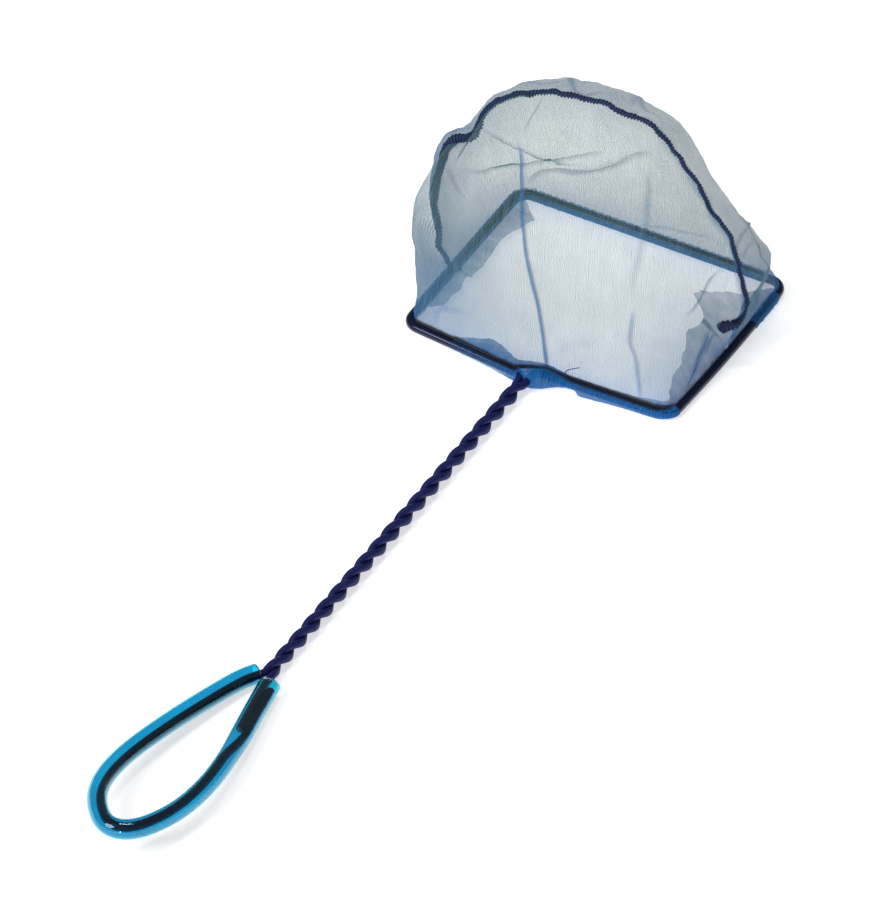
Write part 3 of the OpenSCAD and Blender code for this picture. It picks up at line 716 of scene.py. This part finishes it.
def panel_surface(rim, side, swell, hem, creases, seed):
    """All points of a panel as [u, row], its flat cut in mm, the layers that show, and the hem's curves."""
    u = np.linspace(foot_gap, 1 - foot_gap, cloth_columns)
    v = np.linspace(0, 1, cloth_rows)
    value = {key: hem_value(stops, u)[:, None] for key, stops in hem.items()}
    bare = value["bare"] > 0.5
    wire, out = rim_frame(rim, u, side)
    up = np.array([0.0, 0.0, 1.0])
    round_rim = u[:, None] * rim_mm

    # the casing: an arc round the wire, looser at its outer and lower side
    top = np.radians(90 + 90 * value["foot"])
    a = mix(np.where(bare, top, casing_end), top, np.linspace(0, 1, wrap_rows)[None])
    loose = value["slack"] * np.clip(np.cos(a - slack_at), 0, 1) ** slack_sharp
    loose = loose + value["cover"] * np.clip(np.cos(a - cover_at), 0, 1) ** cover_sharp
    gathers = cloth_wave("gathers", seed, round_rim, a)
    r = (mix(wrap_r, wire_r, value["bare"]) + loose + np.clip(gathers, 0, 1))[..., None]
    wrap = wire[:, None] + r * (np.cos(a)[..., None] * out[:, None] + np.sin(a)[..., None] * up)

    # the raw edge inside: it turns back from the end of the arc and stands by the angle turn
    ragged = 1 + cloth_wave("ragged", seed, round_rim, 0) + cloth_wave("frayed", seed, round_rim, 0)
    tall = value["flap"] * ragged * np.linspace(1, 0, flap_rows)
    turn = np.radians(value["turn"])
    lead = np.sin(turn) * up - np.cos(turn) * out - value["lean"] * out
    along = side * np.stack([out[:, 1], -out[:, 0], out[:, 2]], -1)
    spread = smooth((u - 1) / spread_part + 1) - smooth(1 - u / spread_part)
    lead = lead + flap_spread * spread[:, None] * along
    curl = cloth_wave("curl", seed, round_rim, tall) * np.clip(tall / curl_run, 0, 1)
    curl = curl - droop * tall**2
    flap = wrap[:, :1] + unit(lead)[:, None] * tall[..., None] + curl[..., None] * out[:, None]

    # the body: straight from the casing to the crown, then swollen
    foot, c = wrap[:, -1], crown(u)
    away = unit(np.stack([wire[:, 0] / half_w, wire[:, 1] / half_d, np.zeros(len(u))], -1))
    rise = unit(np.stack([c[:, 0], np.zeros(len(u)), c[:, 2] - bag_middle], -1))
    body = mix(foot[:, None], c[:, None], v[None, :, None])
    body = body + away[:, None] * table(swell["out"], u, v)[..., None]
    body = body + rise[:, None] * table(swell["up"], u, v)[..., None]

    # the flat cut: heights are the lengths up the cloth, and the crown edge keeps its own length
    climb = np.linalg.norm(np.diff(body, axis=1), axis=-1).sum(1)
    crown_step = np.linalg.norm(np.diff(c, axis=0), axis=1)
    across = np.sqrt(np.maximum(crown_step**2 - np.diff(climb) ** 2, (0.25 * crown_step) ** 2))
    rim_x = u * run_of(rim)[-1]
    crown_x = rim_x[0] + np.concatenate([[0], np.cumsum(across)]) / across.sum() * (rim_x[-1] - rim_x[0])
    flat = np.stack([mix(rim_x[:, None], crown_x[:, None], v[None]), climb[:, None] * v[None]], -1)
    x, y = flat[..., 0], flat[..., 1]

    # creases, crinkles and gathers, along the normal and still at both edges
    normal = unit(np.cross(np.gradient(body, axis=0), np.gradient(body, axis=1))) * -side
    still_edge = smooth(v / rim_edge) * smooth((1 - v) / crown_edge)
    layers = np.ones(x.shape)
    lift = cloth_wave("dents", seed, x, y) + cloth_wave("crinkles", seed, x, y)
    lift = lift + cloth_wave("pleats", seed, x, y) * np.exp(-y / pleat_reach)
    for height, half, doubled, fade, stops in creases:
        at_u, at_v = np.array(stops).T / 1000
        low, high, tall = read_off(np.column_stack([rim_x, crown_x, climb]), u, at_u).T
        line = np.column_stack([mix(low, high, at_v), tall * at_v])
        line = through(line, np.linspace(0, 1, 4 * len(line)))
        bell = near_line(flat, line, half, fade)
        lift = lift + height * bell
        layers = layers + doubled * bell
    body = body + normal * (lift * still_edge)[..., None]
    left_over = (1 - v[None]) * climb[:, None]
    strip = np.minimum(seam_strip, seam_strip_share * climb[:, None])
    layers = layers + value["seam"] * smooth(1 - left_over / strip)
    layers = layers + value["root"] * smooth(foot_line - y / foot_blur)
    layers = layers + layer_step * table(swell["folds"], u, v)

    # one grid, from the raw edge to the crown, kept above the floor
    points = np.concatenate([flap[:, :-1], wrap[:, :-1], body], 1)
    waves = np.abs(cloth_wave("floor", seed, points[..., 0], points[..., 1]))
    points[..., 2] = np.maximum(points[..., 2], floor_gap + waves)
    below = np.linalg.norm(np.diff(points[:, :flap_rows + wrap_rows - 1], axis=1), axis=-1)
    depth = -np.cumsum(below[:, ::-1], 1)[:, ::-1]
    hem_flat = np.stack([np.broadcast_to(rim_x[:, None], depth.shape), depth], -1)
    flat = np.concatenate([hem_flat, flat], 1)
    row = np.arange(depth.shape[1])[None]
    in_casing = row >= flap_rows - 1
    from_edge = np.minimum(row / (flap_rows - 1), 1)
    flap_layers = mix(edge_share * value["dense"] + edge_extra, value["dense"], from_edge)
    hem_layers = np.where(in_casing, value["close"], flap_layers)
    hem_layers = hem_layers + cloth_wave("patches", seed, *np.moveaxis(hem_flat, -1, 0))
    layers = np.concatenate([np.where(bare & in_casing, layers[:, :1], hem_layers), layers], 1)
    return points, flat, layers, value


# %% Panels as pieces
hem_reach = 12.0
tone_per_layer, deepest_tone = 0.3, 0.65
shade_middle, shade_line, shade_blur = 0.2, 1.3, 1.5
layer_range = -0.5, 6


def panel_piece(name, node, rim, side, *drawing):
    """One mesh panel as a piece, with its flat cut as its UV map, and its layers and tone as attributes."""
    points, flat, layers, value = panel_surface(rim, side, *drawing)
    y = flat[..., 1]
    near_hem = np.exp(-np.maximum(y, 0) / hem_reach)
    # painted shade: tone past 1 paints the cloth near black along the body's foot over the wire
    shade = value["shade"] * smooth(shade_line - np.abs(y - shade_middle) / shade_blur)
    tone = np.minimum(tone_per_layer * (layers - 1), deepest_tone) * (y > 0) + value["tone"] * near_hem**2
    tone = np.clip(tone, 0, 1) + shade
    layers = np.clip(layers + value["strip"] * near_hem, *layer_range)
    piece = add_piece(
        name, points.reshape(-1, 3), grid_faces(*points.shape[:2], flip=side > 0), "mesh",
        uv=(flat.reshape(-1, 2) + cloth_margin) / cloth_scale,
        values={"layers": layers.ravel(), "tone": tone.ravel()}, welded=True)
    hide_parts(node)
    return piece


front = panel_piece("front_mesh", "front_panel", front_rim, -1, front_swell, front_hem, front_creases, 11)
rear = panel_piece("rear_mesh", "back_panel", back_rim, 1, back_swell, back_hem, back_creases, 31)

# %% [markdown]
# ## The crown seam
# The two panels are joined by an overlock seam, whose threads wind round both raw edges and make
# a lumpy navy cord. It is a flat rod on edge with two threads wound round it as a helix.

# %% Seam cord
seam_wide, seam_thin, thread_r = 0.95, 0.5, 0.36
winding = 2.5
hook_height = 18.0
left_hook = [[-47.6, -8.4, 6.2], [-49.6, -9.0, 4.4]]
right_hook = [[55.8, -2.0, 17.4], [53.8, -3.8, 16.8], [51.6, -4.6, 16.0], [51.2, -4.8, 14.6]]
kept = (crown_table[:, 2] > hook_height) | (crown_table[:, 0] < 0)
seam_path = eased_path(resampled(np.concatenate([left_hook, crown_table[kept], right_hook]), 0.28), 13)
seam_s = run_of(seam_path)
seam_length = seam_s[-1]
seam_path = seam_path + np.stack([
    height * ripple(seam_s, 0, 6, shortest, longest, seed)
    for height, shortest, longest, seed in ((0.22, 4, 11, 3), (0.3, 5, 14, 4), (0.22, 4, 11, 5))], -1)
seam_path = seam_path + smooth((-42 - seam_path[:, :1]) / 6) * [0.7, -1.2, 0.5]

# how thick the cord is, each as (gain, start, length of its rise, end, length of its fall): a wad at
# each end, a fuller left side and a finer right side; then one lump and small waves
bunch = 1 + 0.35 * np.exp(-((seam_s - 62) / 9) ** 2) + 0.12 * ripple(seam_s, 0, 7, 3, 12, 8)
for gain, start, rise, end, fall in (
        (1, seam_length - 9, 4, math.inf, 1), (0.5, -math.inf, 1, 5, 4),
        (0.3, 14, 8, 78, 8), (-0.22, 150, 20, seam_length - 12, 10)):
    bunch = bunch + gain * smooth((seam_s - start) / rise) * smooth((end - seam_s) / fall)
print("seam cord in mm:", round(seam_length, 1))


def seam_frame():
    """Two directions square to the seam: along the depth of the bag, and across it in its own plane."""
    t = unit(np.gradient(seam_path, axis=0))
    side = unit(np.array([0, 1.0, 0]) - t[:, 1:2] * t)
    return side, np.cross(side, t)


def wound_thread(offset, sides=6, steps=11):
    """Thread wound round the seam: at the angle w it lies thin cos(w) to the side, wide sin(w) across."""
    run = run_of(seam_path)
    q = np.linspace(0, run[-1], int(turns * steps))
    path, side, across = (read_off(values, run, q) for values in (seam_path, *seam_frame()))
    w = 2 * np.pi * turns * q / run[-1] + offset
    size = np.interp(q, run, bunch)[:, None]
    thin, wide = seam_thin * size, seam_wide * size
    line = path + thin * np.cos(w)[:, None] * side + wide * np.sin(w)[:, None] * across
    t = unit(np.gradient(line, axis=0))
    normal = unit(line - path)
    normal = unit(normal - (normal * t).sum(-1, keepdims=True) * t)
    return rod(swept(line, normal, np.cross(normal, t), circle(thread_r, sides)))


end_round, core_fit = 1.2, [0.8, 0.85]
taper = np.sqrt(np.clip(np.minimum(seam_s, seam_length - seam_s) / end_round, 0.03, 1))
core_ring = circle(1.0, 12) * core_fit * [seam_thin, seam_wide]
core_rod = rod(swept(seam_path, *seam_frame(), (bunch * taper)[:, None, None] * core_ring))
turns = seam_length / winding
threads = wound_thread(0.0), wound_thread(np.pi)
seam = add_piece("crown_seam_cord", *joined([core_rod, *threads]), "navy_thread")
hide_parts("crown_seam")

# %% [markdown]
# ## The hem stitches
# A running stitch of dark thread closes the casing just above the wire. Each stitch is a short
# bowed rod that dips into the cloth at both ends. One loose tail is left near the handle.

# %% Stitches
stitch_out, stitch_up = 0.5, 0.92
stitch_bow, stitch_sink = 0.22, 0.1


def stitch_row(rim, side, hem, off, margin, length=2.0, pitch=2.9, radius=0.14):
    """Short bowed rods along a rim, off millimetres outside the casing, only where the wire is covered."""
    total = run_of(rim)[-1]
    u = np.arange(margin * total, (1 - margin) * total, pitch) / total
    u = u[hem_value(hem["bare"], u) < 0.3]
    k = np.linspace(0, 1, 7)
    wire, out = rim_frame(rim, np.clip((u[:, None] + k * length / total).ravel(), 0, 1), side)
    bow = np.tile(stitch_bow * np.sin(np.pi * k) - stitch_sink, len(u))
    path = wire + (stitch_out * wrap_r + off + bow)[:, None] * out + [0, 0, stitch_up * wrap_r]
    return joined([rod_mesh(stitch, radius, 5) for stitch in path.reshape(len(u), len(k), 3)])


def both_rows(off, margin):
    """The stitch rows of both panels."""
    rims = (front_rim, -1, front_hem), (back_rim, 1, back_hem)
    return [stitch_row(*rim, off, margin) for rim in rims]


tail_stops = [
    [12, -42.4, 4], [11, -41.6, 5.2], [11.4, -40.6, 6.6], [13.2, -39.6, 7.4], [15.2, -38.6, 8]]
tail = rod_mesh(through(tail_stops, np.linspace(0, 1, 40)), 0.17, 6)
needle = add_piece("needle_stitches", *joined([*both_rows(0.35, 0.02), tail]), "navy_thread")
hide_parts("hem_needle_thread")
bobbin = add_piece("bobbin_stitches", *joined(both_rows(-1.5, 0.03)), "navy_thread")
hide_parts("hem_bobbin_thread")

# %% [markdown]
# ## Finishes
# Each finish is one Principled shader. What changes over a surface is worked out as an expression
# on values, so a weave reads like a formula: the class below turns + - * / ** into Math nodes.

# %% Shader maths as Python expressions
class Val:
    """A socket that can be calculated with like a number."""

    def __init__(self, tree, socket):
        self.tree, self.socket = tree, socket

    def math(self, operation, *others):
        """A Math node on this value and the others."""
        return math_node(operation, self, *others)

    def clamped(self):
        """The value kept between 0 and 1."""
        return self.math("MAXIMUM", 0.0).math("MINIMUM", 1.0)

    def off_centre(self):
        """Distance of the value from the middle of its own unit step: 0 in the middle, 0.5 at its ends."""
        return (self.math("FRACT") - 0.5).math("ABSOLUTE")


def add_operator(name, operation):
    """Gives the class the operator of that name and its reflected form, as one Math node."""
    setattr(Val, f"__{name}__", lambda self, other: math_node(operation, self, other))
    setattr(Val, f"__r{name}__", lambda self, other: math_node(operation, other, self))


for name, operation in (
        ("add", "ADD"), ("sub", "SUBTRACT"), ("mul", "MULTIPLY"), ("truediv", "DIVIDE"), ("pow", "POWER")):
    add_operator(name, operation)


def make(tree, kind, inputs, output=0, **settings):
    """Adds a node, sets it, links or fills its sockets, and returns one output as a value."""
    node = tree.nodes.new("ShaderNode" + kind)
    for key, value in settings.items():
        setattr(node, key, value)
    for key, value in inputs.items():
        socket = node.inputs[key]
        if isinstance(value, Val):
            tree.links.new(value.socket, socket)
        else:
            socket.default_value = value
    return Val(tree, node.outputs[output])


def math_node(operation, *values):
    """A Math node on values and numbers."""
    tree = next(value.tree for value in values if isinstance(value, Val))
    return make(tree, "Math", dict(enumerate(values)), operation=operation)


def blend(share, a, b):
    """Colour a where the share is 0 and b where it is 1."""
    return make(share.tree, "Mix", {0: share, 6: a, 7: b}, output=2, data_type="RGBA")


def noise(place, scale, detail=2.0, roughness=0.5):
    """Soft random value, 0 to 1 and mostly near 0.5, at a place."""
    return make(place.tree, "TexNoise", {
        "Vector": place, "Scale": scale, "Detail": detail, "Roughness": roughness})


def place_on(tree):
    """Place on the piece, in metres."""
    return make(tree, "TexCoord", {}, output=3)


def carried(tree, name):
    """A number that the piece's points carry."""
    return make(tree, "Attribute", {}, output=2, attribute_name=name)


def finish_named(name, constants):
    """A new material whose shader has these constants; returns the material, its tree and its shader."""
    material = bpy.data.materials.new(name)
    material.use_nodes = True
    tree = material.node_tree
    shader = next(n for n in tree.nodes if n.type == "BSDF_PRINCIPLED")
    for key, value in constants.items():
        shader.inputs[key].default_value = value
    return material, tree, shader


def feed(shader, **values):
    """Links values to the shader's sockets, named with _ for a space."""
    for key, value in values.items():
        value.tree.links.new(value.socket, shader.inputs[key.replace("_", " ")])


def bumped(height, strength, distance):
    """Normal of a surface that stands up to distance mm higher as a value goes from 0 to 1."""
    return make(height.tree, "Bump", {"Strength": strength, "Distance": distance * MM, "Height": height})


def colour(r, g, b):
    """A colour typed as the eye sees it, from 0 to 255, turned into the linear light Blender works in."""
    c = np.array([r, g, b]) / 255
    linear = np.where(c <= 0.04045, c / 12.92, ((c + 0.055) / 1.055) ** 2.4)
    return (*linear.tolist(), 1.0)


# %% [markdown]
# The wire's coat is dip-coated navy plastic: nearly black, glossy, with a faint unevenness from
# the dip. On the handle it is painted a lighter indigo, which is painted light, and it is made
# rougher and less glossy there, as from wear. Object coordinates are in metres, so a noise of scale 900 has
# lumps of about a millimetre.

# %% Coated wire
navy, tree, shader = finish_named("navy_coat", {
    "Roughness": 0.25, "Specular IOR Level": 0.5, "Specular Tint": (0.45, 0.55, 1.0, 1.0),
    "Coat Weight": 0.2, "Coat Roughness": 0.08, "Coat IOR": 1.4,
})
place = place_on(tree)
handle_lit_and_worn = carried(tree, "handle_lit_and_worn")
dip_marks = noise(place, 260.0, 3.0)
fine_marks = noise(place, 1500.0, 2.0)
feed(
    shader,
    # lighter indigo on the handle only is painted light; the mouth keeps the near-black navy
    Base_Color=blend(
        (handle_lit_and_worn * (0.55 + 0.9 * dip_marks)).clamped(), colour(7, 9, 40), colour(21, 25, 88)),
    Roughness=0.16 + 0.24 * dip_marks + 0.3 * handle_lit_and_worn,
    Coat_Weight=0.3 - 0.3 * handle_lit_and_worn,
    Normal=bumped(dip_marks + 0.35 * fine_marks, 0.25, 0.12),
)

# %% [markdown]
# The steel core shows only where the coat is cut at the wire's two ends. Drawn wire has fine
# scratches and a trace of rust where it was cut.

# %% Steel core
steel, tree, shader = finish_named("drawn_steel", {"Metallic": 1.0, "Roughness": 0.35})
place = place_on(tree)
rust = ((noise(place, 700.0, 4.0, 0.6) - 0.5) * 5).clamped()
feed(
    shader,
    Base_Color=blend(rust, colour(160, 158, 150), colour(128, 96, 62)),
    Roughness=0.28 + 0.35 * rust,
    Metallic=1.0 - 0.6 * rust,
    Normal=bumped(noise(place, 2400.0, 2.0), 0.3, 0.05),
)

# %% [markdown]
# The grip tube is clear blue vinyl. Light crosses four of its surfaces, so the tint is chosen
# paler than the colour that shows. Faint draw lines and a touch of haze keep it from looking
# like glass.

# %% Blue vinyl
vinyl, tree, shader = finish_named("blue_vinyl", {
    "Roughness": 0.05, "Transmission Weight": 1.0, "IOR": 1.42, "Coat Weight": 0.3, "Coat Roughness": 0.03,
})
place = place_on(tree)
haze = noise(place, 120.0, 3.0)
feed(
    shader,
    Base_Color=blend(haze, colour(3, 182, 212), colour(24, 203, 233)),
    Roughness=0.02 + 0.1 * haze,
    Normal=bumped(noise(place, 300.0, 2.0), 0.12, 0.15),
)

# %% [markdown]
# The mesh is a warp knit: upright wales of looped thread, joined by thin slanting threads, with
# holes between them. The panel's UV map is its flat cut at 200 mm to the unit, so the pattern is
# the same size everywhere. Alpha is high on a thread and low in a hole. Where the cloth lies
# double, the layers that the panel carries as an attribute close the holes: each further layer
# leaves open 0.64 of what was open, so alpha is 1 - (1 - thread) * 0.64^(layers - 1).

# %% Mesh cloth
wale_pitch, course_pitch = 0.5, 0.56
left_open = 0.64
cloth, tree, shader = finish_named("mesh_cloth", {
    "Roughness": 0.65, "Specular IOR Level": 0.15, "Sheen Weight": 0.04})
flat_place = make(tree, "UVMap", {}, uv_map="cloth")
x, y = (make(tree, "SeparateXYZ", {0: flat_place}, output=k) * cloth_scale for k in (0, 1))
layers, tone = (carried(tree, name) for name in ("layers", "tone"))


def stretched_noise(across, up, scale, detail=2.0):
    """Noise whose lumps are 1 / across wide and 1 / up tall on the flat cloth, for scale 1."""
    return noise(make(x.tree, "CombineXYZ", {0: x * across, 1: y * up}), scale, detail)


streaks = stretched_noise(1.0, 0.05, 1.3, 3.0)
clouds = stretched_noise(1.0, 1.0, 0.11, 3.0)
slubs = stretched_noise(1.0, 0.4, 2.2, 1.0)
waver = stretched_noise(1.0, 0.4, 0.24, 2.0)
drawn_x = (x + 2.6 * waver) / wale_pitch
loop_bend = 0.14 * (y * (2 * math.pi / course_pitch)).math("SINE")
wale = (drawn_x + loop_bend).off_centre()
wale_half = 0.06 + 0.26 * streaks + 0.06 * slubs
wale_thread = ((wale - (0.5 - wale_half)) / 0.22 + 0.5).clamped()
link = ((y + 1.4 * waver) / course_pitch + drawn_x.off_centre()).off_centre()
link_thread = ((link - 0.36) / 0.2 + 0.5).clamped()
threads = (0.26 + 0.68 * wale_thread.math("MAXIMUM", link_thread * 0.5)).clamped()
cover = 1 - (1 - threads * (0.4 + 0.3 * clouds + 0.14 * streaks)) * left_open ** (layers - 1)
pale_thread = blend(((streaks - 0.3) * 2.0).clamped(), colour(76, 112, 118), colour(114, 144, 145))
deep_thread = blend(((threads - 0.3) * 1.6).clamped(), colour(8, 54, 118), colour(32, 134, 212))
feed(
    shader,
    # tone past 1 turns the thread near-black navy: painted shade at the body's foot over the wire
    Base_Color=blend(
        (tone - 1).clamped(), blend(tone.clamped(), pale_thread, deep_thread), colour(2, 8, 24)),
    Alpha=cover.clamped(),
    Roughness=0.55 + 0.2 * clouds,
    Normal=bumped(threads, 0.3, 0.05),
)

# %% [markdown]
# The sewing thread is spun navy polyester, with a fine twist and a soft sheen.

# %% Navy thread
thread, tree, shader = finish_named("navy_thread", {
    "Roughness": 0.75, "Sheen Weight": 0.08, "Sheen Roughness": 0.4})
place = place_on(tree)
fibres = noise(place, 2600.0, 3.0, 0.6)
wear = noise(place, 90.0, 2.0)
feed(
    shader,
    Base_Color=blend((0.45 * fibres + 0.75 * wear - 0.1).clamped(), colour(4, 13, 40), colour(20, 58, 112)),
    Roughness=0.6 + 0.25 * fibres,
    Normal=bumped(fibres, 0.6, 0.12),
)

# %% Finishes onto the pieces
worn = {navy: [coat], steel: [core], vinyl: [grip], cloth: [front, rear], thread: [seam, needle, bobbin]}
for finish, pieces in worn.items():
    for piece in pieces:
        piece.data.materials.append(finish)
    print(finish.name, "on", [piece.name for piece in pieces])

# %% [markdown]
# ## Floor and light
# The floor is a lit white table, as small goods are photographed on, so shadows stay faint. A pale
# sky fills in softly, a soft sun from the left gives the threads and folds their form, and two
# small lamps draw the thin highlights on the wire and the tube.

# %% Floor
reach = 20.0
floor_mesh = bpy.data.meshes.new("floor")
corners = [(x * reach, y * reach, 0) for x, y in ((-1, -1), (1, -1), (1, 1), (-1, 1))]
floor_mesh.from_pydata(corners, [], [(0, 1, 2, 3)])
floor = bpy.data.objects.new("floor", floor_mesh)
bpy.context.scene.collection.objects.link(floor)
paper, tree, shader = finish_named("pale_floor", {
    "Roughness": 0.9, "Specular IOR Level": 0.1, "Emission Color": (1, 1, 1, 1), "Emission Strength": 0.6})
place = place_on(tree)
feed(shader, Base_Color=blend(noise(place, 3.0), colour(246, 247, 248), colour(251, 251, 252)))
floor.data.materials.append(paper)

# %% Lights
world = bpy.data.worlds.new("studio")
bpy.context.scene.world = world
world.use_nodes = True
background = world.node_tree.nodes["Background"].inputs
background["Color"].default_value = (0.96, 0.98, 1.0, 1)
background["Strength"].default_value = 0.2


def aimed(name, data, azimuth, elevation, distance=1500.0):
    """A light that looks at the middle of the net from a direction."""
    light = bpy.data.objects.new(name, data)
    bpy.context.scene.collection.objects.link(light)
    direction = camera_back(azimuth, elevation)
    light.location = Vector((look_at + distance * direction) * MM)
    light.rotation_euler = Vector(direction).to_track_quat("Z", "Y").to_euler()


sun_data = bpy.data.lights.new("soft_sun", "SUN")
sun_data.energy = 1.65
sun_data.angle = math.radians(32)
aimed("soft_sun", sun_data, -31, 39)
for name, wide, deep, watts, azimuth, elevation in (
        ("front_lamp", 0.1, 0.1, 2.0, 14, 6), ("top_lamp", 0.45, 0.12, 4.0, 29, 95)):
    lamp_data = bpy.data.lights.new(name, "AREA")
    lamp_data.shape = "RECTANGLE"
    lamp_data.size, lamp_data.size_y = wide, deep
    lamp_data.energy = watts
    aimed(name, lamp_data, azimuth, elevation)
bpy.context.scene.view_settings.view_transform = "Standard"
